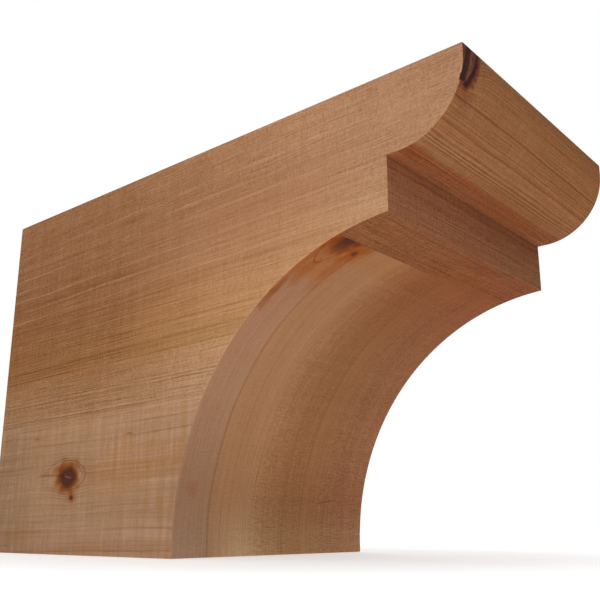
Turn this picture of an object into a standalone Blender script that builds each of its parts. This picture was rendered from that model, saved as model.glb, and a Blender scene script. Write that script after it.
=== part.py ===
"""A sawn cedar rafter tail: one solid timber with a quarter-round nose, a square step and a deep cove below it.

Metres, +Z up. The origin is the middle of the flat back end, which butts against the building. The tail runs
out along -Y, and X is across the timber.
"""

import math

import bmesh
import bpy

# The timber: a dressed 6 by 8 section, 5 1/2 by 7 1/2 inches, cut one foot long.
TIMBER_WIDTH = 0.1397
TIMBER_HEIGHT = 0.1905
TAIL_LENGTH = 0.3048

# The quarter-round nose, with a narrow square edge at each end of its curve.
NOSE_RADIUS = 0.0308
NOSE_LIP = 0.0048
NOSE_RETURN = 0.0048

# The square step below the nose, and the cove that springs from it.
STEP_HEIGHT = 0.0238
COVE_RADIUS = 0.1242
COVE_LEAD = 0.0058  # how far the cove's centre lies in front of the step's face

# Straight facets along each curve.
NOSE_FACETS = 24
COVE_FACETS = 56

SMOOTH_ANGLE = math.radians(20)

CEDAR_COLOUR = (0.42, 0.215, 0.115, 1.0)
CEDAR_ROUGHNESS = 0.72


def arc(centre, radius, start, end, facets):
    """Points on a circle in the Y-Z plane, both ends included; angles run from +Y towards +Z."""
    angles = [start + (end - start) * step / facets for step in range(facets + 1)]
    return [(centre[0] + radius * math.cos(a), centre[1] + radius * math.sin(a)) for a in angles]


def nose_outline(top, front):
    """From the top front arris, down the lip, round the nose and back along the return."""
    centre = (front + NOSE_RADIUS, top - NOSE_LIP)
    curve = arc(centre, NOSE_RADIUS, math.pi, math.pi * 3 / 2, NOSE_FACETS)
    step_face = centre[0] + NOSE_RETURN
    return [(front, top), *curve, (step_face, centre[1] - NOSE_RADIUS)]


def cove_outline(shoulder, underside):
    """From the shoulder under the step, round the cove and down to the underside."""
    rise = math.sqrt(COVE_RADIUS**2 - COVE_LEAD**2)
    centre = (shoulder[0] - COVE_LEAD, shoulder[1] - rise)
    start = math.atan2(rise, COVE_LEAD)
    if centre[1] > underside:
        foot = (centre[0] + COVE_RADIUS, underside)
        return [*arc(centre, COVE_RADIUS, start, 0.0, COVE_FACETS), foot]
    # A cove that is larger than the timber allows runs out through the underside.
    end = math.asin((underside - centre[1]) / COVE_RADIUS)
    return arc(centre, COVE_RADIUS, start, end, COVE_FACETS)


def tail_outline():
    """The side view as (y, z) points, from the top of the back end round to its foot."""
    top = TIMBER_HEIGHT / 2
    underside = top - TIMBER_HEIGHT
    nose = nose_outline(top, -TAIL_LENGTH)
    step_face, nose_bottom = nose[-1]
    cove = cove_outline((step_face, nose_bottom - STEP_HEIGHT), underside)
    return [(0.0, top), *nose, *cove, (0.0, underside)]


def cedar_material():
    material = bpy.data.materials.new("cedar")
    material.use_nodes = True
    shader = material.node_tree.nodes["Principled BSDF"]
    shader.inputs["Base Color"].default_value = CEDAR_COLOUR
    shader.inputs["Roughness"].default_value = CEDAR_ROUGHNESS
    shader.inputs["Metallic"].default_value = 0.0
    return material


def build_rafter_tail():
    """The side outline, swept straight across the timber."""
    shape = bmesh.new()
    near_side = [shape.verts.new((-TIMBER_WIDTH / 2, y, z)) for y, z in tail_outline()]
    side_face = shape.faces.new(near_side)
    swept = bmesh.ops.extrude_face_region(shape, geom=[side_face])
    far_side = [item for item in swept["geom"] if isinstance(item, bmesh.types.BMVert)]
    bmesh.ops.translate(shape, verts=far_side, vec=(TIMBER_WIDTH, 0, 0))
    bmesh.ops.recalc_face_normals(shape, faces=shape.faces)
    mesh = bpy.data.meshes.new("rafter_tail")
    shape.to_mesh(mesh)
    shape.free()
    mesh.shade_smooth()
    mesh.set_sharp_from_angle(angle=SMOOTH_ANGLE)
    mesh.materials.append(cedar_material())
    tail = bpy.data.objects.new("rafter_tail", mesh)
    bpy.context.scene.collection.objects.link(tail)
    return tail


def clear_scene():
    for item in list(bpy.data.objects):
        bpy.data.objects.remove(item)


clear_scene()
build_rafter_tail()
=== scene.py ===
"""The rafter tail dressed as sawn cedar, standing on a pale floor in soft light.

Metres, +Z up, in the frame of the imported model: X runs across the timber, the nose points along -Y, and the
back end lies on Y = 0. One piece stands for the whole timber. Its skin is drawn from the same sizes as the
solid, its arrises are eased, and its knots and bark pocket are pressed into the mesh.
"""

import math
from collections import namedtuple

import bmesh
import bpy
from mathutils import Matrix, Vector, noise


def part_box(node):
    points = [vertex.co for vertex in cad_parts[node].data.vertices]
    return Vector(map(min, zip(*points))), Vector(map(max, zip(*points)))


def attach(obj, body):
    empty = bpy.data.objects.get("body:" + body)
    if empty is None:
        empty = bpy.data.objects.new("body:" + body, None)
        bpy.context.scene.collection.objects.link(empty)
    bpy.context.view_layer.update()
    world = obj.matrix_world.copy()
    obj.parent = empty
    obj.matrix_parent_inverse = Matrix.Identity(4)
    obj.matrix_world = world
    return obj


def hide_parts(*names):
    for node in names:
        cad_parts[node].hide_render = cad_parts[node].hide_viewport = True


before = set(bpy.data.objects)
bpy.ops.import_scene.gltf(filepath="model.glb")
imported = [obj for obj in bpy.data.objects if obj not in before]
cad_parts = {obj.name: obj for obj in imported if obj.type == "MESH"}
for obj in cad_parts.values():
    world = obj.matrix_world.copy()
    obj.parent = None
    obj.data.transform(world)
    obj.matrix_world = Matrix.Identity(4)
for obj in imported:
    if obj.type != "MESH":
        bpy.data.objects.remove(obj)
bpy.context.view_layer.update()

# The timber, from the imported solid.
LOW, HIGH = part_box("rafter_tail")
WIDTH, LENGTH, _ = HIGH - LOW
NEAR, FAR = LOW.x, HIGH.x
FRONT, BACK = LOW.y, HIGH.y
FOOT, TOP = LOW.z, HIGH.z

# The finishes and the knots are laid out in millimetres. A knot has its place along and across the grain, its
# size from the middle to the rim, and the reach over which the grain lines bend to pass it.
MM = 1000.0
HALF_WIDTH = MM * WIDTH / 2
Knot = namedtuple("Knot", "along across size reach")

# The sawn profile of the front end.
NOSE_RADIUS = 0.0308
NOSE_LIP = 0.0048
NOSE_RETURN = 0.0048
STEP_HEIGHT = 0.0238
COVE_RADIUS = 0.1242
COVE_LEAD = 0.0058
NOSE_CENTRE = Vector((0, FRONT + NOSE_RADIUS, TOP - NOSE_LIP))
STEP_FACE = NOSE_CENTRE.y + NOSE_RETURN
NOSE_BOTTOM = NOSE_CENTRE.z - NOSE_RADIUS
SHOULDER = NOSE_BOTTOM - STEP_HEIGHT
COVE_RISE = math.sqrt(COVE_RADIUS**2 - COVE_LEAD**2)
COVE_CENTRE = Vector((0, STEP_FACE - COVE_LEAD, SHOULDER - COVE_RISE))
COVE_START = math.atan2(COVE_RISE, COVE_LEAD)
COVE_FOOT = COVE_CENTRE.y + COVE_RADIUS

# The way round the front, from the top arris down to the foot: where each part of the profile ends.
NOSE_END = NOSE_LIP + NOSE_RADIUS * math.pi / 2
RETURN_END = NOSE_END + NOSE_RETURN
STEP_END = RETURN_END + STEP_HEIGHT
COVE_END = STEP_END + COVE_RADIUS * COVE_START

# Cells of the skin: across the timber, along it, and round each part of the front.
CELLS_ACROSS = 46
CELLS_ALONG = 96
LIP_CELLS, NOSE_CELLS, RETURN_CELLS, STEP_CELLS, COVE_CELLS, FOOT_CELLS = 3, 30, 3, 10, 72, 4
HEADROOM = 0.002  # how far the rows of cells behind the nose climb towards the back end

ARRIS = 0.0005  # how far from each outer corner its rounding starts
ARRIS_CUTS = 2
BORDER = 0.001  # the narrow border round each side
CLOSE = 0.00002  # points nearer than this are one
SANDED = 0.9999  # keeps the rounded skin a hair inside the solid
CORNER_ANGLE = math.radians(40)  # the profile's corners are sharper than this
SMOOTH_ANGLE = math.radians(50)  # what is flatter than this is shaded smooth
SQUARE_ON = 0.75  # a face belongs to a flat surface when its normal points this far the same way


def near(a, b):
    return abs(a - b) < CLOSE


# The skin


def select_edges(piece, test, open_only=False):
    """Selects the edges whose two ends both pass the test, and nothing else."""
    bpy.ops.mesh.select_all(action="DESELECT")
    mesh = bmesh.from_edit_mesh(piece.data)
    for edge in mesh.edges:
        edge.select_set(all(test(end.co) for end in edge.verts) and (edge.is_boundary or not open_only))
    bmesh.update_edit_mesh(piece.data)


def select_faces(piece, test):
    """Selects the faces that pass the test on their middle and normal, and nothing else."""
    bpy.ops.mesh.select_all(action="DESELECT")
    mesh = bmesh.from_edit_mesh(piece.data)
    for face in mesh.faces:
        face.select_set(test(face.calc_center_median(), face.normal))
    bmesh.update_edit_mesh(piece.data)


def draw_out(move, cells):
    """Extrudes the selected row of edges by move, in equal cells."""
    step = [part / cells for part in move]
    for _ in range(cells):
        bpy.ops.mesh.extrude_edges_move(TRANSFORM_OT_translate={"value": step})


def sweep(centre, angle, cells):
    """Turns the selected row of edges about centre, in equal cells: +Y towards +Z is a positive angle."""
    bpy.ops.mesh.spin(steps=cells, angle=angle, center=centre, axis=(-1, 0, 0), use_auto_merge=False)


def skin_front_and_underside(piece):
    """From the top front arris: lip, nose, return, step, cove, foot and underside."""
    select_edges(piece, lambda p: near(p.y, FRONT))
    draw_out((0, 0, -NOSE_LIP), LIP_CELLS)
    sweep(NOSE_CENTRE, math.pi / 2, NOSE_CELLS)
    draw_out((0, NOSE_RETURN, 0), RETURN_CELLS)
    draw_out((0, 0, -STEP_HEIGHT), STEP_CELLS)
    sweep(COVE_CENTRE, -COVE_START, COVE_CELLS)
    draw_out((0, 0, FOOT - COVE_CENTRE.z), FOOT_CELLS)
    draw_out((0, BACK - COVE_FOOT, 0), CELLS_ALONG)


def skin_back(piece):
    """The back end, with a row of cells for each row of the front, and those of each part at its height."""
    select_edges(piece, lambda p: near(p.y, BACK) and near(p.z, TOP))
    draw_out((0, 0, NOSE_BOTTOM + BORDER + HEADROOM - TOP), LIP_CELLS + NOSE_CELLS)
    draw_out((0, 0, -HEADROOM), RETURN_CELLS)
    draw_out((0, 0, -STEP_HEIGHT), STEP_CELLS)
    draw_out((0, 0, COVE_CENTRE.z - SHOULDER - BORDER), COVE_CELLS)
    draw_out((0, 0, FOOT - COVE_CENTRE.z), FOOT_CELLS)


def space_evenly(piece, x, z, start, end):
    """Draws a row of the border's inner corners together, so that they lie evenly between its two ends."""
    def within_row(p):
        return near(p.x, x) and near(p.z, z) and start + BORDER + CLOSE < p.y < end - BORDER - CLOSE
    select_edges(piece, within_row)
    share = 1 - 2 * BORDER / (end - start)
    bpy.ops.transform.resize(value=(1, share, 1), center_override=(x, (start + end) / 2, z))


def skin_side(piece, x):
    """One side: a flat face with a narrow border, filled with rows of cells from front to back."""
    top, foot = TOP - BORDER, FOOT + BORDER
    select_edges(piece, lambda p: near(p.x, x), open_only=True)
    bpy.ops.mesh.edge_face_add()
    bpy.ops.mesh.inset(thickness=BORDER, use_even_offset=True)
    bpy.ops.mesh.delete(type="ONLY_FACE")
    space_evenly(piece, x, top, FRONT, BACK)
    space_evenly(piece, x, foot, COVE_FOOT, BACK)
    def off_the_long_edges(p):
        on_top = near(p.z, top) and FRONT + BORDER + CLOSE < p.y < BACK - BORDER - CLOSE
        on_foot = near(p.z, foot) and COVE_FOOT + BORDER + CLOSE < p.y < BACK - BORDER - CLOSE
        return near(p.x, x) and not on_top and not on_foot
    select_edges(piece, off_the_long_edges, open_only=True)
    bpy.ops.mesh.bridge_edge_loops(number_cuts=CELLS_ALONG - 1, interpolation="LINEAR")


def close_doubles():
    bpy.ops.mesh.select_all(action="SELECT")
    bpy.ops.mesh.remove_doubles(threshold=2 * CLOSE)


def ease_arrises(piece):
    """Rounds every outer corner a little; the inner corner behind the nose stays sharp."""
    bpy.ops.mesh.select_all(action="DESELECT")
    bpy.ops.mesh.edges_select_sharp(sharpness=CORNER_ANGLE)
    mesh = bmesh.from_edit_mesh(piece.data)
    for edge in mesh.edges:
        edge.select_set(edge.select and edge.is_convex)
    bmesh.update_edit_mesh(piece.data)
    settings = {"offset_type": "OFFSET", "profile": 0.5, "clamp_overlap": False}
    bpy.ops.mesh.bevel(offset=ARRIS, segments=ARRIS_CUTS, **settings)


def timber():
    """The whole skin of the timber, closed, with eased arrises."""
    bpy.ops.object.select_all(action="DESELECT")
    bpy.ops.mesh.primitive_grid_add(x_subdivisions=CELLS_ACROSS, y_subdivisions=CELLS_ALONG, size=1)
    piece = bpy.context.object
    piece.name = piece.data.name = "sawn_cedar_tail"
    bpy.ops.object.mode_set(mode="EDIT")
    bpy.ops.mesh.select_mode(type="EDGE")
    bpy.ops.mesh.select_all(action="SELECT")
    bpy.ops.transform.resize(value=(WIDTH, LENGTH, 1))
    bpy.ops.transform.translate(value=(0, (FRONT + BACK) / 2, TOP))
    skin_front_and_underside(piece)
    skin_back(piece)
    close_doubles()
    for x in (NEAR, FAR):
        skin_side(piece, x)
    close_doubles()
    bpy.ops.mesh.normals_make_consistent(inside=False)
    ease_arrises(piece)
    bpy.ops.mesh.select_all(action="SELECT")
    bpy.ops.transform.resize(value=(SANDED, SANDED, SANDED), center_override=(LOW + HIGH) / 2)
    bpy.ops.object.mode_set(mode="OBJECT")
    return piece


# The grain: which way it runs on each face


def front_travel(p):
    """How far round the front a point lies, from the top arris down to the foot."""
    if p.z > NOSE_CENTRE.z:
        return TOP - p.z
    if p.z > SHOULDER and p.y < STEP_FACE - CLOSE:
        if p.y > NOSE_CENTRE.y:
            return NOSE_END + p.y - NOSE_CENTRE.y
        return NOSE_LIP + NOSE_RADIUS * math.atan2(NOSE_CENTRE.z - p.z, NOSE_CENTRE.y - p.y)
    if p.z > SHOULDER:
        return RETURN_END + NOSE_BOTTOM - p.z
    if p.z > COVE_CENTRE.z:
        return STEP_END + COVE_RADIUS * (COVE_START - math.atan2(p.z - COVE_CENTRE.z, p.y - COVE_CENTRE.y))
    return COVE_END + COVE_CENTRE.z - p.z


def zone_of(middle, normal):
    """The name of the surface that a face belongs to."""
    if abs(normal.x) > SQUARE_ON:
        return "near_side" if middle.x < 0 else "far_side"
    if normal.y > SQUARE_ON:
        return "back"
    if middle.z > TOP - ARRIS and normal.z > SQUARE_ON:
        return "top"
    if middle.z < FOOT + ARRIS and normal.z < -SQUARE_ON:
        return "underside"
    way = front_travel(middle)
    if way < RETURN_END:
        return "nose"
    return "step" if way < STEP_END else "cove"


ZONES = ("near_side", "far_side", "top", "underside", "back", "nose", "step", "cove")


def grain_place(p, zone):
    """Where a point lies on its own surface, in metres, as the finish reads it."""
    if zone in ("near_side", "far_side"):
        return (p.y, p.z)
    if zone in ("top", "underside"):
        return (p.y, p.x)
    if zone == "back":
        return (p.x, p.z)
    return (p.x, front_travel(p))


def lay_grain(piece):
    """Gives each face the material of its surface and its place on it."""
    mesh = piece.data
    grain = mesh.uv_layers.new(name="grain")
    for face in mesh.polygons:
        zone = zone_of(face.center, face.normal)
        face.material_index = ZONES.index(zone)
        for loop in face.loop_indices:
            point = mesh.vertices[mesh.loops[loop].vertex_index].co
            grain.data[loop].uv = grain_place(point, zone)


# The knots and the bark pocket, pressed into the skin

# How deep they go, in millimetres.
DEEPEST = 1.0
POCKET_DEPTH = 0.6
HEART_DEPTH = 0.3
CHECK_DEPTH = 0.5

# The patches with finer cells, in millimetres. Both reach in from the near side: the first 17 mm, and 20 mm to
# either side of the top front arris; the second 18 mm, from 23 to 42 mm down the cove.
POCKET_PATCH = (17, 20)
COVE_PATCH = (18, 23, 42)
POCKET_CUTS, COVE_CUTS, KNOT_CUTS = 5, 3, 2


def refine(piece, zone, low, high, cuts):
    """Divides the cells of one patch of a surface more finely."""
    def in_patch(middle, normal):
        if zone_of(middle, normal) != zone:
            return False
        place = [MM * part for part in grain_place(middle, zone)]
        return all(l < part < h for l, part, h in zip(low, place, high))
    bpy.ops.object.mode_set(mode="EDIT")
    bpy.ops.mesh.select_mode(type="FACE")
    select_faces(piece, in_patch)
    bpy.ops.mesh.subdivide(number_cuts=cuts)
    bpy.ops.mesh.select_all(action="DESELECT")
    bpy.ops.object.mode_set(mode="OBJECT")


def refine_knots(piece):
    """Makes the cells finer where the bark pocket and the knots are pressed in."""
    edge, past_arris = 1 - HALF_WIDTH, 0.6
    across, down = POCKET_PATCH
    refine(piece, "nose", (edge, past_arris), (across - HALF_WIDTH, down), POCKET_CUTS)
    refine(piece, "top", (MM * FRONT + past_arris, edge), (MM * FRONT + down, across - HALF_WIDTH), POCKET_CUTS)
    across, start, end = COVE_PATCH
    low, high = (edge, MM * STEP_END + start), (across - HALF_WIDTH, MM * STEP_END + end)
    refine(piece, "cove", low, high, COVE_CUTS)
    for zone, knots in (("near_side", NEAR_KNOTS), ("far_side", FAR_KNOTS)):
        knot = knots[0]
        low = (knot.along - 2 * knot.size, knot.across - 1.4 * knot.size)
        high = (knot.along + 2 * knot.size, knot.across + 1.4 * knot.size)
        refine(piece, zone, low, high, KNOT_CUTS)


def pressed_depth(p, zone):
    """How deep a point is pressed in, in millimetres. Of a side's knots only the first, larger one is."""
    along, across = [MM * part for part in grain_place(p, zone)]
    if zone in ("near_side", "far_side"):
        knots = NEAR_KNOTS if zone == "near_side" else FAR_KNOTS
        return knot_depth(along, across, knots[0])
    if zone in ("nose", "top"):
        x, way = (along, across) if zone == "nose" else (across, MM * FRONT - along)
        off_the_arris = ease(abs(way), 0.8, 2.6)
        torn = 0.3 * noise.noise(p * MM / 3)
        return POCKET_DEPTH * off_the_arris * bark_cover(x + HALF_WIDTH, way, torn, 0.5)
    if zone == "cove":
        x, way = along + HALF_WIDTH, across - MM * STEP_END
        heart = spot(way, x, COVE_HEART, COVE_HEART_SIZE)
        below_seam = ease(way, COVE_SEAM, COVE_SEAM + 1.5)
        return HEART_DEPTH * below_seam * (1 - ease(heart, 0.3, 1.0))
    return 0.0


def knot_depth(along, across, knot):
    """A knot's heart lies a little low, with rings cut deeper in it and a check along the middle."""
    off = spot(along, across, (knot.along, knot.across), (1.1 * knot.size, 0.78 * knot.size))
    off += 0.08 * noise.noise(Vector((along, across, knot.along)) / 4)
    rings = 0.5 + 0.5 * math.cos(off * 15)
    off_check = abs(across - knot.across - 0.15 * (along - knot.along))
    check = (1 - ease(off_check, 0.2, 0.9)) * (1 - ease(off, 0.5, 0.8))
    return (HEART_DEPTH * (0.6 + 0.4 * rings) + CHECK_DEPTH * check) * (1 - ease(off, 0.8, 1.1))


def press_in(piece):
    """Presses the knots and the bark pocket into the skin."""
    group = piece.vertex_groups.new(name="pressed_in")
    for point in piece.data.vertices:
        depth = pressed_depth(point.co, zone_of(point.co, point.normal)) / DEEPEST
        if depth > 0:
            group.add([point.index], min(depth, 1.0), "REPLACE")
    dent = piece.modifiers.new("dent", "DISPLACE")
    dent.vertex_group = group.name
    dent.mid_level = 0
    dent.strength = -DEEPEST / MM
    bpy.ops.object.modifier_apply(modifier=dent.name)
    piece.vertex_groups.clear()


# What the finishes are made of

SAW_DEPTH = 0.0002  # how high the relief of the saw marks stands, in metres
DRY_WOOD_GLOSS = 0.07
LINE_TINT = (0.64, 0.43, 0.23, 1.0)
THREAD_TINT = (0.60, 0.38, 0.21, 1.0)
AMBER_TINT = (1.0, 0.84, 0.58, 1.0)


class Socket:
    """One output of a node, so that shader maths can be written as Python expressions."""

    def __init__(self, finish, output):
        self.finish, self.output = finish, output

    def maths(self, operation, *values):
        return self.finish.node("Math", {"operation": operation}, *values)

    def __add__(self, other):
        return self.maths("ADD", self, other)

    def __radd__(self, other):
        return self.maths("ADD", other, self)

    def __sub__(self, other):
        return self.maths("SUBTRACT", self, other)

    def __rsub__(self, other):
        return self.maths("SUBTRACT", other, self)

    def __mul__(self, other):
        return self.maths("MULTIPLY", self, other)

    def __rmul__(self, other):
        return self.maths("MULTIPLY", other, self)

    def __truediv__(self, other):
        return self.maths("DIVIDE", self, other)

    def __pow__(self, other):
        return self.maths("POWER", self, other)

    def __abs__(self):
        return self.maths("ABSOLUTE", self)

    def floor(self):
        return self.maths("FLOOR", self)

    def fract(self):
        return self.maths("FRACT", self)

    def sign(self):
        return self.maths("SIGN", self)

    def root(self):
        return self.maths("SQRT", self)

    def exp(self):
        return self.maths("EXPONENT", self)

    def least(self, other):
        return self.maths("MINIMUM", self, other)

    def most(self, other):
        return self.maths("MAXIMUM", self, other)


def ease(value, low, high):
    """0 below low, 1 above high, and a smooth slope between them, for a number or a socket."""
    if isinstance(value, Socket):
        settings = {"interpolation_type": "SMOOTHSTEP"}
        return value.finish.node("MapRange", settings, value, low, high, 0.0, 1.0)
    share = min(max((value - low) / (high - low), 0.0), 1.0)
    return share * share * (3 - 2 * share)


def within(value, low, high, soft):
    """1 between low and high, fading to 0 over soft on either side."""
    return ease(value, low - soft, low) * (1 - ease(value, high, high + soft))


def spot(along, across, middle, size):
    """How far off the middle of an oval spot a point lies: 1 on its rim."""
    a = (along - middle[0]) / size[0]
    b = (across - middle[1]) / size[1]
    return (a * a + b * b) ** 0.5


def thread(value, place, width):
    """1 on a thin line, fading to 0 on both sides of it."""
    return 1 - ease(abs(value - place), 0.0, width)


class Finish:
    """A material in the making: its nodes, and the few kinds of pattern that the finishes share."""

    def __init__(self, name):
        self.material = bpy.data.materials.new(name)
        self.material.use_nodes = True
        self.nodes = self.material.node_tree.nodes
        self.links = self.material.node_tree.links
        self.shader = self.nodes["Principled BSDF"]

    def node(self, kind, settings=None, *values, output=0, **named):
        """Any node: its settings first, then values or links for its sockets, by order or by name."""
        made = self.nodes.new("ShaderNode" + kind)
        for key, value in (settings or {}).items():
            if key == "stops":
                self.set_stops(made.color_ramp, value)
            else:
                setattr(made, key, value)
        for socket, value in zip(made.inputs, values):
            self.feed(socket, value)
        for key, value in named.items():
            self.feed(next(s for s in made.inputs if s.identifier == key), value)
        if isinstance(output, str):
            return Socket(self, next(s for s in made.outputs if s.identifier == output))
        return Socket(self, made.outputs[output])

    def feed(self, socket, value):
        """Links a socket's value in, or sets it; a colour that feeds a vector leaves its alpha behind."""
        if isinstance(value, Socket):
            self.links.new(value.output, socket)
        elif socket.type == "VECTOR":
            socket.default_value = value[:3]
        else:
            socket.default_value = value

    def set_stops(self, ramp, stops):
        """The colours of a ramp and their places on it."""
        while len(ramp.elements) < len(stops):
            ramp.elements.new(1.0)
        for element, (place, colour) in zip(ramp.elements, stops):
            element.position = place
            element.color = colour

    def place(self):
        """The two coordinates of the grain map, in millimetres."""
        where = self.node("UVMap", {"uv_map": "grain"})
        split = self.node("SeparateXYZ", None, where).output.node
        return Socket(self, split.outputs["X"]) * MM, Socket(self, split.outputs["Y"]) * MM

    def noise(self, along, across, length, width, seed, detail=2.0):
        """Patches of about length by width, from -1 to 1 and mostly near 0."""
        where = self.node("CombineXYZ", None, along / length, across / width, seed)
        value = self.node("TexNoise", None, Vector=where, Scale=1.0, Detail=detail, Roughness=0.5)
        return (value - 0.5) * 4

    def chance(self, number):
        """A random number from 0 to 1 for each whole number."""
        return self.node("TexWhiteNoise", {"noise_dimensions": "1D"}, W=number)

    def growth_lines(self, across, spacing, seed, sharpness=5.0):
        """Thin lines spacing apart, each of its own strength from 0 to 1, sharp on one side."""
        steps = across / spacing + seed
        return self.chance(steps.floor()) * steps.fract() ** sharpness

    def threads(self, across, places, width):
        """Thin lines at given places."""
        lines = thread(across, places[0], width)
        for place in places[1:]:
            lines = lines.most(thread(across, place, width))
        return lines

    def past_knot(self, along, across, knot):
        """Where the grain line through a point lies away from the knot: the lines part to let it through."""
        off = across - knot.across
        way = (along - knot.along) / knot.reach
        fade = off / (2.2 * knot.size)
        push = (-1 * (way * way + fade * fade)).exp() * knot.size
        return (off * off - push * push).most(0.0).root() * off.sign() + knot.across

    def bands(self, value, colours):
        """A colour for each value, from a list of (value, colour) pairs in rising order."""
        low, high = colours[0][0], colours[-1][0]
        stops = [((place - low) / (high - low), colour) for place, colour in colours]
        return self.node("ValToRGB", {"stops": stops}, (value - low) / (high - low))

    def blend(self, share, under, over):
        """One colour laid over another by a share."""
        sockets = {"Factor_Float": share, "A_Color": under, "B_Color": over}
        return self.node("Mix", {"data_type": "RGBA"}, output="Result_Color", **sockets)

    def stain(self, share, under, tint):
        """A colour multiplied by a tint, by a share."""
        sockets = {"Factor_Float": share, "A_Color": under, "B_Color": tint}
        settings = {"data_type": "RGBA", "blend_type": "MULTIPLY"}
        return self.node("Mix", settings, output="Result_Color", **sockets)

    def scale(self, colour, amount):
        """A colour made lighter or darker as a whole."""
        return self.node("VectorMath", {"operation": "SCALE"}, colour, Scale=amount)

    def tone(self, colour, amount):
        """A colour made darker and warmer where amount is below 1, and lighter and paler where it is above."""
        off = amount - 1
        shades = self.node("CombineXYZ", None, amount, 1 + 1.3 * off, 1 + 1.7 * off)
        return self.node("VectorMath", {"operation": "MULTIPLY"}, colour, shades)

    def sawn(self, along, across, colour, seed, spacing, lines, hatch=1.0, streaks=1.0):
        """Streaks, growth lines and saw marks of cedar over a ground colour, and their relief.

        spacing is that of the growth lines. lines, hatch and streaks are how strong the growth lines, the saw
        marks with their grit, and the streaks of colour are.
        """
        wide = self.noise(along, across, 260, 6, seed)
        narrow = self.noise(along, across, 140, 1.4, seed + 1)
        fine = self.noise(along, across, 24, 0.8, seed + 2, 1.0)
        teeth = self.noise(along, across, 1.0, 4.5, seed + 3, 1.0)
        passes = self.noise(along, across, 4.0, 70, seed + 4)
        grit = self.noise(along, across, 1.3, 0.9, seed + 6, 1.0)
        tone = 1 + streaks * (0.05 * wide + 0.06 * narrow)
        tone = tone + hatch * (0.095 * fine + 0.075 * teeth + 0.045 * passes + 0.095 * grit)
        shaken = across + 0.9 * self.noise(along, across, 400, 9, seed + 5)
        line = self.growth_lines(shaken, spacing, seed)
        line = line + 0.6 * self.growth_lines(shaken, 0.43 * spacing, seed, 3.0)
        colour = self.stain(line.least(1.0) * lines, self.tone(colour, tone), LINE_TINT)
        height = hatch * (0.6 * fine + 0.7 * teeth + 0.6 * grit) + 0.4 * narrow - lines * line
        return colour, height

    def done(self, colour, roughness, height):
        """The finished material, with its relief as bump."""
        self.feed(self.shader.inputs["Base Color"], colour)
        self.feed(self.shader.inputs["Roughness"], roughness)
        self.shader.inputs["Specular IOR Level"].default_value = DRY_WOOD_GLOSS
        bump = self.node("Bump", None, Distance=SAW_DEPTH, Strength=1.0, Height=height)
        self.feed(self.shader.inputs["Normal"], bump)
        return self.material


# The bark pocket, at the left end of the nose

# A band's place across the timber at the top arris, and how it leans and curves down the nose.
LEFT_BARK = (5.1, -0.33, 0.006)
RIGHT_BARK = (11.8, -0.16, -0.0185)
POCKET_SMUDGE = ((5.0, 20.0), (10.0, 5.5))
POCKET_CRACKS = ((5.2, 2.0), (8.4, 2.4), (10.9, 3.2), (13.6, 4.8))  # how far down, and how far to the right
POCKET_GLOW = (0.184, 0.0423, 0.0166, 1.0)
POCKET_FRINGE = (0.124, 0.0221, 0.0110, 1.0)
POCKET_WOOD = (0.109, 0.0350, 0.0175, 1.0)
POCKET_PURPLE = (0.0948, 0.0313, 0.0230, 1.0)
POCKET_STREAK = (0.285, 0.118, 0.0350, 1.0)
BARK = (0.036, 0.017, 0.0145, 1.0)
BARK_RED = (0.062, 0.022, 0.015, 1.0)


def bark_line(curve, way):
    """Where a band of bark lies across the timber, for a way down the front."""
    return curve[0] + curve[1] * way + curve[2] * way * way


def bark_cover(x, way, torn, soft=0.0, wide=0.0):
    """How much bark covers a point: two dark bands that lean together down the nose.

    torn frays the rims, soft makes them fade, and wide sets them further out, most on the right.
    """
    left = abs(x - bark_line(LEFT_BARK, way)) + torn - 0.5 * wide
    right = abs(x - bark_line(RIGHT_BARK, way)) + torn - 0.05 * way - wide
    down = way + torn - wide
    behind = ease(way, -16, -13)
    left_band = (1 - ease(left, 1.3 - soft, 2.1)) * (1 - ease(down, 14.6 - soft, 15.8)) * behind
    right_band = (1 - ease(right, 0.5 - soft, 1.0)) * (1 - ease(down, 16.0 - soft, 17.2)) * behind
    return left_band + right_band - left_band * right_band


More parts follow.
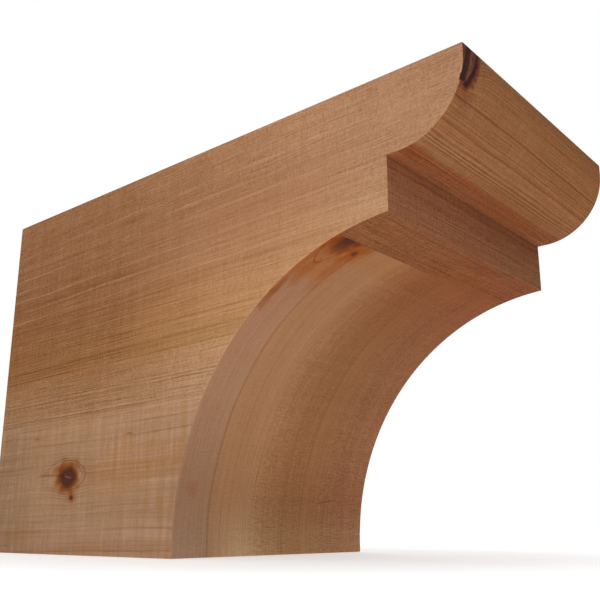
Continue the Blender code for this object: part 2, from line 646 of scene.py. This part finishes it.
def lay_bark(finish, x, way, colour):
    """The bark and the reddened wood in and round it, which on the top keeps between the two bands."""
    torn = 0.35 * finish.noise(x, way, 1.6, 4.0, 14.0)
    behind = ease(way, -17, -12)
    left, right = bark_line(LEFT_BARK, way), bark_line(RIGHT_BARK, way)
    glow = (1 - ease(abs(x - right) + torn - 0.05 * way, 1.2, 4.6)) * (1 - ease(way, 17.2, 20.0)) * behind
    smudge = 1 - ease(spot(x, way, *POCKET_SMUDGE) + 0.6 * torn, 0.2, 1.0)
    on_the_nose = ease(way, -4, 0).most(ease(x - left, -2.5, -0.5))
    inner = ease(right - x, -0.3, 0.3) * (1 - ease(way + torn, 14.6, 16.8)) * behind * on_the_nose
    colour = finish.blend((0.75 * glow).most(0.45 * smudge), colour, POCKET_GLOW)
    fringe = bark_cover(x, way, 1.8 * torn, 0.9, 1.7)
    colour = finish.blend(0.72 * fringe, colour, POCKET_FRINGE)
    corner = (1 - ease(x, left - 1, left)) * (1 - ease(way, 5, 13)) * behind * on_the_nose
    colour = finish.blend(0.55 * corner, colour, POCKET_GLOW)
    colour = finish.blend(0.95 * inner, colour, POCKET_WOOD)
    purple = inner * (1 - ease(right - x + torn, 2.0, 3.6)) * (1 - ease(way, 8, 14))
    colour = finish.blend(0.85 * purple, colour, POCKET_PURPLE)
    streak = thread(x, left + 2.8 + torn, 0.55) + 0.4 * thread(x, left + 4.1 - torn, 0.5)
    colour = finish.blend(0.6 * inner * streak, colour, POCKET_STREAK)
    for down, reach in POCKET_CRACKS:
        crack = thread(way + 0.3 * (right - x), down, 1.0) * within(x, right + 1.0, right + reach, 1.0)
        colour = finish.blend(0.9 * crack, colour, POCKET_WOOD)
    bark = bark_cover(x, way, torn)
    bark_colour = finish.blend(ease(finish.noise(x, way, 0.9, 3.0, 16.0), -0.1, 0.7), BARK, BARK_RED)
    return finish.blend(0.97 * bark, colour, bark_colour), bark


# The knots

GLOW_TINT = (0.74, 0.40, 0.12, 1.0)
KNOT_RIM = (0.117, 0.0291, 0.0056, 1.0)
KNOT_HEART = (0.0649, 0.0164, 0.0118, 1.0)
KNOT_RING = (0.197, 0.0705, 0.0301, 1.0)
KNOT_CHECK = (0.338, 0.160, 0.0752, 1.0)


def lay_knot(finish, along, across, knot, colour):
    """A knot: an orange-brown glow, a dark rim, a purple-brown heart with rings in it and a check."""
    shaken = 0.12 * finish.noise(along, across, 5, 5, knot.along)
    middle = (knot.along, knot.across)
    off = spot(along, across, middle, (1.1 * knot.size, 0.78 * knot.size)) + shaken
    around = spot(along, across, middle, (1.8 * knot.size, 1.42 * knot.size)) + 1.5 * shaken
    near_knot = 1 - ease(spot(along, across, middle, (4 * knot.size, 2.3 * knot.size)), 0.5, 1.0)
    bent = finish.past_knot(along, across, knot)
    colour = finish.stain(0.6 * near_knot * (bent / 1.8).fract() ** 3, colour, THREAD_TINT)
    colour = finish.stain(1 - ease(around, 0.5, 1.1), colour, GLOW_TINT)
    colour = finish.blend(0.9 * (1 - ease(off, 0.65, 1.3)), colour, KNOT_RIM)
    colour = finish.blend(1 - ease(off, 0.5, 0.8), colour, KNOT_HEART)
    colour = finish.blend(0.6 * thread(off, 0.66, 0.2), colour, BARK)
    rings = (off * 4.3).fract() ** 2 * (1 - ease(off, 0.6, 0.9))
    colour = finish.blend(0.55 * rings, colour, KNOT_RING)
    check = thread(across - 0.2 * along, knot.across - 0.2 * knot.along, 0.7) * (1 - ease(off, 0.2, 0.5))
    return finish.blend(0.6 * check, colour, KNOT_CHECK)


def lay_pin_knot(finish, along, across, knot, colour):
    """A knot no bigger than a pin's head, in a glow of its own."""
    off = spot(along, across, (knot.along, knot.across), (knot.size, 0.8 * knot.size))
    off = off + 0.15 * finish.noise(along, across, 2, 2, knot.across)
    colour = finish.stain(0.8 * (1 - ease(off, 0.6, 3.2)), colour, GLOW_TINT)
    return finish.blend(1 - ease(off, 0.4, 1.3), colour, KNOT_RIM)


# The long sides

# The ground colour at each height above the timber's middle.
SIDE_BANDS = [
    (-95, (0.426, 0.235, 0.133, 1.0)),
    (-78, (0.403, 0.236, 0.132, 1.0)),
    (-40, (0.364, 0.208, 0.110, 1.0)),
    (-24, (0.462, 0.265, 0.149, 1.0)),
    (-8, (0.469, 0.256, 0.131, 1.0)),
    (2, (0.394, 0.191, 0.0760, 1.0)),
    (16, (0.405, 0.194, 0.0818, 1.0)),
    (32, (0.373, 0.171, 0.0756, 1.0)),
    (46, (0.347, 0.156, 0.0711, 1.0)),
    (64, (0.372, 0.179, 0.0869, 1.0)),
    (95, (0.371, 0.179, 0.0886, 1.0)),
]
PLAID_PALE = (0.442, 0.246, 0.162, 1.0)
PALE_WOOD = (0.470, 0.263, 0.150, 1.0)
# Painted shade that darkens the long sides towards the back end, and painted light that lightens them near the
# nose.
BACK_PAINTED_SHADE = (0.80, 0.75, 0.66, 1.0)
FRONT_PAINTED_LIGHT = (1.06, 1.18, 1.30, 1.0)
COVE_SIDE_TINT = (1.14, 1.24, 1.34, 1.0)
TOP_EDGE_TINT = (1.10, 1.14, 1.18, 1.0)
FRONT_CORNER_TINT = (0.90, 0.87, 0.84, 1.0)
KNOT_SIDE_TINT = (1.09, 1.11, 1.15, 1.0)
BACK_FOOT_TINT = (0.88, 0.89, 0.90, 1.0)
KNOT_SIDE = ((-78, -60), (75, 45))
AMBER_SIDE = ((-122, -53), (48, 19))
EYE_LOOP = ((-67.5, -56.3), (16.0, 7.6))
PITCH_DASHES = ((-117.0, -38.3), (-37.0, -36.0))
PITCH_SIZE = (3.6, 0.6)
PALE_THREADS = (77.0, 70.0, 62.5, 55.5, 49.8, 43.0, 36.5)
DARK_THREADS = (83.0, 74.0, 67.0, 30.0, 21.0, 13.5, 5.5, 0.0, -32.0, -38.0, -49.0, -71.0, -82.0, -92.0)
NEAR_KNOTS = [Knot(-68.2, -57.2, 7.5, 13.0), Knot(-72.8, -67.5, 1.7, 4.5)]
FAR_KNOTS = [Knot(-214.0, 34.0, 6.5, 12.0), Knot(-96.0, -28.0, 2.2, 8.0)]


def side_finish(name, knots, seed, near_side):
    """A long side: bands of colour along the timber, finely lined in the middle and plaid below, with painted
    shade towards the back end and painted light near the nose.
    """
    finish = Finish(name)
    along, up = finish.place()
    level = up + 0.02 * along + 3 + 0.6 * finish.noise(along, up, 80, 25, seed)
    across = level
    for knot in knots:
        across = finish.past_knot(along, across, knot)
    low = 1 - ease(level, -35, -17)
    colour = finish.bands(level, SIDE_BANDS)
    # Painted shade: darker towards the back end, less so low down; painted light: lighter near the nose.
    colour = finish.stain(ease(along, -250, -60) * (1 - 0.8 * low), colour, BACK_PAINTED_SHADE)
    colour = finish.stain(1 - ease(along, -300, -190), colour, FRONT_PAINTED_LIGHT)
    over_the_cove = (1 - ease(along, -185, -85)) * within(up, -30, 42, 22) * (0.5 + 0.5 * ease(up, -12, 4))
    colour = finish.stain(over_the_cove, colour, COVE_SIDE_TINT)
    colour = finish.stain(ease(along, -270, -220) * ease(up, 72, 88), colour, TOP_EDGE_TINT)
    colour = finish.stain((1 - ease(along, -298, -260)) * ease(up, 60, 90), colour, FRONT_CORNER_TINT)
    colour = finish.stain(ease(along, -50, -10) * low, colour, BACK_FOOT_TINT)
    colour = finish.stain(1 - ease(spot(along, up, *KNOT_SIDE), 0.4, 1.0), colour, KNOT_SIDE_TINT)
    colour = finish.stain(0.5 - 0.5 * ease(spot(along, up, *AMBER_SIDE), 0.3, 1.0), colour, AMBER_TINT)
    upright = finish.noise(along, across, 3.4, 50, seed + 7)
    flat = finish.noise(along, across, 90, 3.4, seed + 8)
    plaid = ease(upright + 0.9 * flat, -0.1, 1.2)
    colour = finish.blend(plaid * (0.12 + 0.55 * low), colour, PLAID_PALE)
    colour = finish.tone(colour, 1 + (0.01 + 0.07 * low) * (upright + 0.5 * flat))
    amber = finish.noise(along, across, 4.5, 26, seed + 11) + finish.noise(along, across, 60, 5, seed + 12)
    colour = finish.stain((0.2 + 0.4 * low) * ease(amber, 0.0, 1.2), colour, AMBER_TINT)
    broken = ease(finish.noise(along, across, 120, 3, seed + 9), -0.6, 0.4)
    pale = finish.threads(across, PALE_THREADS, 0.9) * broken
    colour = finish.blend(0.48 * pale, colour, PALE_WOOD)
    broken = ease(finish.noise(along, across, 60, 3, seed + 10), -0.6, 0.6)
    dark = finish.threads(across, DARK_THREADS, 0.8) * broken
    colour = finish.stain((0.4 - 0.2 * ease(level, 36, 60)) * dark, colour, THREAD_TINT)
    clear_lines = within(level, -26, 32, 6) * (0.55 + 0.45 * ease(along, -200, -110))
    plain = within(along, -235, -130, 35) * within(up, 5, 58, 18)
    strength = (0.28 + 0.55 * clear_lines) * (1 - 0.35 * plain)
    hatch = 1.08 + 0.2 * ease(along, -250, -80) - 0.8 * low - 0.35 * plain
    colour, height = finish.sawn(along, across, colour, seed, 1.8, strength, hatch)
    colour = lay_knot(finish, along, up, knots[0], colour)
    colour = lay_pin_knot(finish, along, up, knots[1], colour)
    if near_side:
        colour = near_side_marks(finish, along, up, colour)
    return finish.done(colour, 0.72 + 0.04 * plaid, height)


def near_side_marks(finish, along, up, colour):
    """The eye-shaped loop and the tail of the large knot, and two dashes of pitch."""
    loop = spot(along, up, *EYE_LOOP) + 0.04 * finish.noise(along, up, 9, 5, 3.5)
    open_end = 1 - ease(along, -72, -56)
    eye = (thread(loop, 1.0, 0.08) + 0.6 * thread(loop, 0.82, 0.07)) * open_end
    colour = finish.stain(0.6 * eye, colour, THREAD_TINT)
    lid = thread(up + 0.022 * (along + 66) * (along + 66), -47.5, 1.0) * within(along, -66, -50, 5)
    colour = finish.stain(0.4 * lid, colour, THREAD_TINT)
    tail = within(along, -60, -47, 8) * thread(up - 0.03 * along, -54.2, 1.0)
    colour = finish.stain(0.65 * tail, colour, THREAD_TINT)
    glow = within(along, -103, -82, 14) * (1 - ease(abs(up + 57.5), 0.8, 3.2))
    colour = finish.stain(0.22 * glow, colour, GLOW_TINT)
    for middle in PITCH_DASHES:
        pitch = 1 - ease(spot(along, up, middle, PITCH_SIZE), 0.3, 1.0)
        colour = finish.stain(0.75 * pitch, colour, THREAD_TINT)
    return colour


# The top, the underside and the back end

TOP_GROUND = (0.40, 0.19, 0.09, 1.0)
UNDERSIDE_GROUND = (0.42, 0.2, 0.1, 1.0)
END_GROUND = (0.34, 0.155, 0.075, 1.0)
PITH = (38, -150)


def long_finish(name, ground, seed, front_bark=False):
    """A face cut along the timber that the photograph doesn't show: plain long grain."""
    finish = Finish(name)
    along, across = finish.place()
    wavy = across + 1.2 * finish.noise(along, across, 90, 30, seed)
    tone = 1 + 0.1 * finish.noise(along, wavy, 200, 16, seed + 7)
    colour, height = finish.sawn(along, wavy, finish.scale(ground, tone), seed, 4.2, 0.45)
    if front_bark:
        colour, _ = lay_bark(finish, across + HALF_WIDTH, MM * FRONT - along, colour)
    return finish.done(colour, 0.72 + 0.03 * tone, height)


def end_finish(name):
    """The back end: growth rings cut square, round a pith that lies below the timber."""
    finish = Finish(name)
    x, z = finish.place()
    off = spot(x, z, PITH, (1, 1)) + 1.5 * finish.noise(x, z, 40, 40, 5.0)
    rings = finish.growth_lines(off, 2.6, 3.0, 2.5)
    tone = 1 + 0.08 * finish.noise(x, off, 300, 14, 6.0) + 0.06 * finish.noise(x, z, 1.2, 1.2, 7.0)
    colour = finish.stain(0.6 * rings, finish.scale(END_GROUND, tone), LINE_TINT)
    saw = finish.noise(x, z, 60, 1.1, 8.0, 1.0)
    return finish.done(finish.scale(colour, 1 + 0.04 * saw), 0.78 + 0.05 * rings, 0.6 * saw - 0.8 * rings)


# The nose

NOSE_GROUND = (0.281, 0.117, 0.0442, 1.0)
FAR_NOSE_TINT = (0.98, 0.94, 0.84, 1.0)
NOSE_FOOT_TINT = (1.07, 1.13, 1.24, 1.0)
RETURN_TINT = (1.124, 1.218, 1.344, 1.0)
STRIP_GROUND = (0.268, 0.0848, 0.0296, 1.0)
STRIP_END_TINT = (0.822, 0.768, 0.598, 1.0)
STRIP_BLOTCH = (0.319, 0.0840, 0.0235, 1.0)
STRIP_TOP = 45.6
NOSE_THREADS = (21.0, 25.7, 30.8, 38.8, 42.0)


def nose_finish(name):
    """The front: golden brown with clear lines across it, and a redder strip at the foot of the curve."""
    finish = Finish(name)
    x, way = finish.place()
    x = x + HALF_WIDTH
    fan = (1 - ease(x, 6, 30)) * (1 - ease(way, 8, 24))
    across = way + 0.28 * (x - 28) * fan + 0.4 * finish.noise(x, way, 50, 12, 11.0)
    strip = ease(way, STRIP_TOP, 46.0)
    colour = finish.blend(strip, NOSE_GROUND, STRIP_GROUND)
    colour = finish.stain(ease(x, 60, 115), colour, FAR_NOSE_TINT)
    colour = finish.stain(within(way, 38, 44, 3) * (1 - ease(x, 25, 60)), colour, NOSE_FOOT_TINT)
    colour = finish.stain(ease(way, 50, 55), colour, RETURN_TINT)
    ends = (1 - ease(x, 0, 25)).most(ease(x, 118, 136)) * within(way, 46, 52, 2)
    colour = finish.stain(ends, colour, STRIP_END_TINT)
    colour = finish.scale(colour, 1 - 0.06 * (1 - ease(way, 2, 8)) - 0.05 * ease(way, 12, 28))
    blotch = ease(finish.noise(x, way, 22, 7, 12.0), 0.0, 0.9) * strip
    colour = finish.blend(0.3 * blotch, colour, STRIP_BLOTCH)
    clear = 0.5 + 0.5 * within(way, 19, 40, 4)
    colour, height = finish.sawn(x, across, colour, 13.0, 1.6, 1.35 * clear * (1 - 0.3 * strip), 1.0, 1.2)
    dark = finish.threads(across, NOSE_THREADS, 0.6) * ease(finish.noise(x, way, 70, 3, 15.0), -0.8, 0.3)
    colour = finish.stain(0.5 * dark, colour, THREAD_TINT)
    colour, bark = lay_bark(finish, x, way, colour)
    return finish.done(colour, 0.7 + 0.1 * bark, height)


# The step

# The ground colour at each way round the front: the step's own reddish brown, with painted shade that darkens
# it towards the top, under the nose.
STEP_BANDS_AND_SHADE = [
    (58, (0.191, 0.0652, 0.0258, 1.0)),
    (62, (0.219, 0.0777, 0.0322, 1.0)),
    (73, (0.264, 0.104, 0.0473, 1.0)),
    (82, (0.275, 0.111, 0.0502, 1.0)),
]
FAR_STEP_TINT = (0.90, 0.89, 0.86, 1.0)
STEP_THREAD = 73.4


def step_finish(name):
    """The step: reddish brown, darker under the nose with painted shade, lined across, with upright saw marks.
    """
    finish = Finish(name)
    x, way = finish.place()
    across = way + 0.3 * finish.noise(x, way, 60, 8, 21.0)
    # Painted shade: the ground darkens towards the top of the step, under the nose.
    ground = finish.stain(ease(x + HALF_WIDTH, 15, 100), finish.bands(way, STEP_BANDS_AND_SHADE), FAR_STEP_TINT)
    colour, height = finish.sawn(x, across, ground, 22.0, 3.9, 0.5, 1.0, 1.5)
    colour = finish.stain(0.4 * thread(across, STEP_THREAD, 0.6), colour, THREAD_TINT)
    upright = finish.noise(x, way, 0.9, 9, 23.0)
    colour = finish.tone(colour, 1 + 0.05 * upright)
    return finish.done(colour, 0.74 + 0.02 * height, height + 0.6 * upright)


# The cove, measured down from the shoulder and across from the near side

# The ground colour at each place across the timber.
COVE_BANDS = [
    (0, (0.370, 0.195, 0.110, 1.0)),
    (19, (0.363, 0.191, 0.105, 1.0)),
    (23, (0.368, 0.187, 0.0894, 1.0)),
    (44, (0.380, 0.196, 0.0929, 1.0)),
    (58, (0.339, 0.157, 0.0690, 1.0)),
    (74, (0.295, 0.130, 0.0513, 1.0)),
    (100, (0.304, 0.130, 0.0540, 1.0)),
    (116, (0.295, 0.122, 0.0540, 1.0)),
    (140, (0.321, 0.128, 0.0558, 1.0)),
]
COVE_SEAM = 24.5
COVE_RED_THREAD = 21.0
COVE_DARK_THREADS = (COVE_RED_THREAD, 33.6, 44.7, 72.0, 86.0)
HEAD_GROUND = (0.253, 0.0911, 0.0327, 1.0)
FAR_HEAD_TINT = (0.96, 0.77, 0.54, 1.0)
COVE_HEAD_TINT = (0.84, 0.73, 0.68, 1.0)
FAR_COVE_TINT = (0.96, 0.88, 0.78, 1.0)
COVE_EDGE_TINT = (0.88, 0.90, 0.90, 1.0)
COVE_MIDDLE_TINT = (1.09, 1.13, 1.16, 1.0)
# Painted light that makes the foot of the cove lighter and paler.
COVE_FOOT_PAINTED_LIGHT = (1.56, 2.00, 2.35, 1.0)
KNOT_ORANGE = (0.82, 0.51, 0.16, 1.0)

# Its knot, and the small marks, each with its middle and its size.
COVE_KNOT = Knot(27.0, 7.2, 5.2, 15.0)
COVE_HEART = (22.0, 8.6)
COVE_HEART_SIZE = (12.0, 5.4)
COVE_HEART_RIM = ((25.0, 14.2), (3.0, 3.4))
COVE_PIN_KNOT = ((31.2, 19.2), (1.9, 1.6))
COVE_SMUDGE = ((66.0, 2.2), (14.0, 4.2))
COVE_BLUSH = ((166, 9), (5, 5))
COVE_GLOWS = [
    ((24, 2.0), (12, 5), 0.8),
    ((24, 8.0), (19, 10), 0.9),
    ((27, 19.0), (14, 9.0), 0.85),
    ((50, 7.0), (14, 4.5), 0.6),
    ((44, 19.0), (20, 5), 0.5),
    ((44, 1.5), (24, 3), 0.5),
]


def cove_finish(name):
    """The cove: a strip with its grain across at the head, below it the grain runs round the curve, and painted
    light at the foot.
    """
    finish = Finish(name)
    x, way = finish.place()
    x = x + HALF_WIDTH
    way = way - MM * STEP_END
    bent = finish.past_knot(way, x + 0.6 * finish.noise(way, x, 60, 20, 31.0), COVE_KNOT)
    ground = finish.scale(finish.bands(bent, COVE_BANDS), 1 + 0.06 * ease(way, 95, 150))
    far = ease(x, 45, 80)
    ground = finish.stain((1 - ease(way, 30, 120)) * (0.8 + 0.2 * far), ground, COVE_HEAD_TINT)
    ground = finish.stain((1 - ease(way, 35, 90)) * far, ground, FAR_COVE_TINT)
    ground = finish.stain((1 - ease(way, 49, 57)) * (1 - ease(x, 16, 27)), ground, AMBER_TINT)
    ground = finish.stain(0.4 * (1 - ease(way, 33, 43)), ground, AMBER_TINT)
    ground = finish.stain(ease(way, 110, 175) * (1 - ease(x, 17, 30)), ground, COVE_EDGE_TINT)
    ground = finish.stain(within(way, 132, 160, 22) * ease(x, 35, 60), ground, COVE_MIDDLE_TINT)
    # Painted light: the foot of the cove lighter and paler, most away from the near side.
    ground = finish.stain(ease(way, 165, 205) * (0.4 + 0.6 * ease(x, 20, 45)), ground, COVE_FOOT_PAINTED_LIGHT)
    weave = 0.4 + 0.65 * within(x, 52, 84, 6) + 0.8 * ease(x, 88, 104)
    curved, curved_height = finish.sawn(way, bent, ground, 32.0, 4.2, 0.14, weave, 0.8)
    dark = finish.threads(bent, COVE_DARK_THREADS, 1.1) * ease(way, 40, 90)
    curved = finish.stain(0.18 * dark + 0.25 * thread(bent, COVE_RED_THREAD, 0.8), curved, THREAD_TINT)
    curved = lay_cove_knot(finish, x, way, curved)
    head_ground = finish.stain(ease(x, 20, 110), HEAD_GROUND, FAR_HEAD_TINT)
    head, head_height = finish.sawn(x, way, head_ground, 34.0, 2.2, 0.8, 1.8, 1.8)
    blur = 0.2 + 16 * ease(x, 45, 120)
    cut = ease((way - COVE_SEAM) / blur, -0.5, 0.5)
    colour = finish.blend(cut, head, curved)
    height = head_height + cut * (curved_height - head_height)
    return finish.done(colour, 0.74 + 0.02 * height, height)


def lay_cove_knot(finish, x, way, colour):
    """The knot that the seam cuts through, its glow and loop, a pin knot beside it, and a few small marks."""
    shaken = 0.12 * finish.noise(way, x, 6, 4, 33.0)
    for middle, size, share in COVE_GLOWS:
        glow = spot(way, x, middle, size) + 2 * shaken
        colour = finish.stain(share * (1 - ease(glow, 0.3, 1.1)), colour, KNOT_ORANGE)
    heart = spot(way, x, COVE_HEART, COVE_HEART_SIZE) + shaken
    colour = finish.blend(0.9 * (1 - ease(heart, 0.6, 1.5)), colour, KNOT_RIM)
    mottled = 0.75 + 0.25 * ease(finish.noise(way, x, 2.5, 1.6, 35.0), -0.6, 0.6)
    colour = finish.blend(mottled * (1 - ease(heart, 0.4, 0.95)), colour, KNOT_HEART)
    rim = spot(way, x, *COVE_HEART_RIM) + shaken
    colour = finish.blend(0.6 * (1 - ease(rim, 0.3, 1.1)), colour, KNOT_RIM)
    off_knot = x - COVE_KNOT.across
    loop = 43.8 - 0.31 * off_knot * off_knot
    colour = finish.stain(0.7 * thread(way, loop, 1.1) * within(way, 28, 45, 2), colour, THREAD_TINT)
    pin = spot(way, x, *COVE_PIN_KNOT) + 2 * shaken
    colour = finish.blend(1 - ease(pin, 0.4, 1.4), colour, KNOT_RIM)
    smudge = spot(way, x, *COVE_SMUDGE) + 2 * shaken
    colour = finish.stain(0.75 * (1 - ease(smudge, 0.2, 1.0)), colour, GLOW_TINT)
    tick = thread(way, 170.5 - 0.15 * (x - 100), 0.9) * within(x, 101, 110, 1.5)
    colour = finish.stain(0.5 * tick, colour, THREAD_TINT)
    blush = spot(way, x, *COVE_BLUSH) + 2 * shaken
    return finish.blend(0.3 * (1 - ease(blush, 0.2, 1.0)), colour, STRIP_BLOTCH)


# The stage

MIDDLE = (LOW + HIGH) / 2
FLOOR_SIZE = 12.0
FLOOR_GAP = 0.0001
FLOOR_COLOUR = (0.55, 0.55, 0.55, 1.0)
FLOOR_GLOW = 0.56
SKY = 0.11

# Each soft light: its name, its place, its size in metres and its power in watts.
LIGHTS = [
    ("overhead", (0, -0.2, 1.6), 2.5, 24),
    ("key", (-0.45, -0.36, 0.0), 0.35, 1.0),
    ("front", (0.1, -1.1, 0.0), 0.7, 0.4),
    ("fill", (1.1, 0.8, 0.6), 1.0, 5),
]

# The photograph's camera: below the timber's middle, near its front, looking up and along it.
CAMERA_PLACE = (-0.3093, -0.4289, FOOT + 0.0133)
CAMERA_TURN = math.radians(50.008)
CAMERA_TILT = math.radians(15.058)
CAMERA_LENS = 47.751
CAMERA_SHIFT = (-0.0107, 0.0222)


def add_light(name, place, size, power):
    """A soft square light that faces the middle of the tail."""
    light = bpy.data.lights.new(name, "AREA")
    light.size = size
    light.energy = power
    lamp = bpy.data.objects.new(name, light)
    bpy.context.scene.collection.objects.link(lamp)
    lamp.location = place
    lamp.visible_camera = False
    lamp.rotation_euler = (MIDDLE - Vector(place)).to_track_quat("-Z", "Y").to_euler()


def set_stage():
    """The floor, the sky and the lights."""
    bpy.ops.object.select_all(action="DESELECT")
    bpy.ops.mesh.primitive_plane_add(size=FLOOR_SIZE, location=(0, (FRONT + BACK) / 2, FOOT - FLOOR_GAP))
    floor = bpy.context.object
    floor.name = "floor"
    floor.data.materials.append(floor_finish())
    set_sky()
    for light in LIGHTS:
        add_light(*light)


def floor_finish():
    """Pale paint that glows, and more so away from the tail, so that it runs into the white behind."""
    finish = Finish("floor_white")
    where = finish.node("TexCoord", output="Object")
    far = finish.node("VectorMath", {"operation": "LENGTH"}, where, output="Value")
    glow = FLOOR_GLOW + (1 - FLOOR_GLOW) * ease(far, 0.1, 0.36)
    finish.feed(finish.shader.inputs["Emission Color"], finish.scale((1, 1, 1), glow))
    finish.shader.inputs["Emission Strength"].default_value = 1.0
    finish.shader.inputs["Base Color"].default_value = FLOOR_COLOUR
    finish.shader.inputs["Roughness"].default_value = 0.9
    return finish.material


def set_sky():
    """White behind the tail, and a dimmer even light from all round."""
    world = bpy.data.worlds.new("studio")
    world.use_nodes = True
    nodes, links = world.node_tree.nodes, world.node_tree.links
    seen = nodes["Background"]
    seen.inputs["Color"].default_value = (1, 1, 1, 1)
    lit = nodes.new("ShaderNodeBackground")
    lit.inputs["Color"].default_value = (1, 1, 1, 1)
    lit.inputs["Strength"].default_value = SKY
    mixed = nodes.new("ShaderNodeMixShader")
    links.new(nodes.new("ShaderNodeLightPath").outputs["Is Camera Ray"], mixed.inputs["Fac"])
    links.new(lit.outputs["Background"], mixed.inputs[1])
    links.new(seen.outputs["Background"], mixed.inputs[2])
    links.new(mixed.outputs["Shader"], nodes["World Output"].inputs["Surface"])
    bpy.context.scene.world = world


def add_camera():
    camera = bpy.data.cameras.new("camera")
    camera.lens = CAMERA_LENS
    camera.sensor_width = 36.0
    camera.shift_x, camera.shift_y = CAMERA_SHIFT
    camera.clip_start, camera.clip_end = 0.01, 50.0
    eye = bpy.data.objects.new("camera", camera)
    bpy.context.scene.collection.objects.link(eye)
    eye.location = CAMERA_PLACE
    eye.rotation_euler = (math.pi / 2 + CAMERA_TILT, 0, -CAMERA_TURN)
    bpy.context.scene.camera = eye


def dress(piece):
    """Gives the piece its finishes, in the order of their surfaces, and smooths its curves."""
    finishes = {
        "near_side": side_finish("cedar_near_side", NEAR_KNOTS, 1.0, True),
        "far_side": side_finish("cedar_far_side", FAR_KNOTS, 41.0, False),
        "top": long_finish("cedar_top", TOP_GROUND, 51.0, True),
        "underside": long_finish("cedar_underside", UNDERSIDE_GROUND, 61.0),
        "back": end_finish("cedar_back_end"),
        "nose": nose_finish("cedar_nose"),
        "step": step_finish("cedar_step"),
        "cove": cove_finish("cedar_cove"),
    }
    for zone in ZONES:
        piece.data.materials.append(finishes[zone])
    bpy.ops.object.shade_smooth_by_angle(angle=SMOOTH_ANGLE)
    flat_faces = piece.modifiers.new("flat_faces", "WEIGHTED_NORMAL")
    flat_faces.keep_sharp = True
    bpy.ops.object.modifier_apply(modifier=flat_faces.name)


tail = timber()
refine_knots(tail)
press_in(tail)
lay_grain(tail)
dress(tail)
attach(tail, "root")
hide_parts("rafter_tail")
add_camera()
set_stage()
bpy.context.scene.view_settings.view_transform = "Standard"
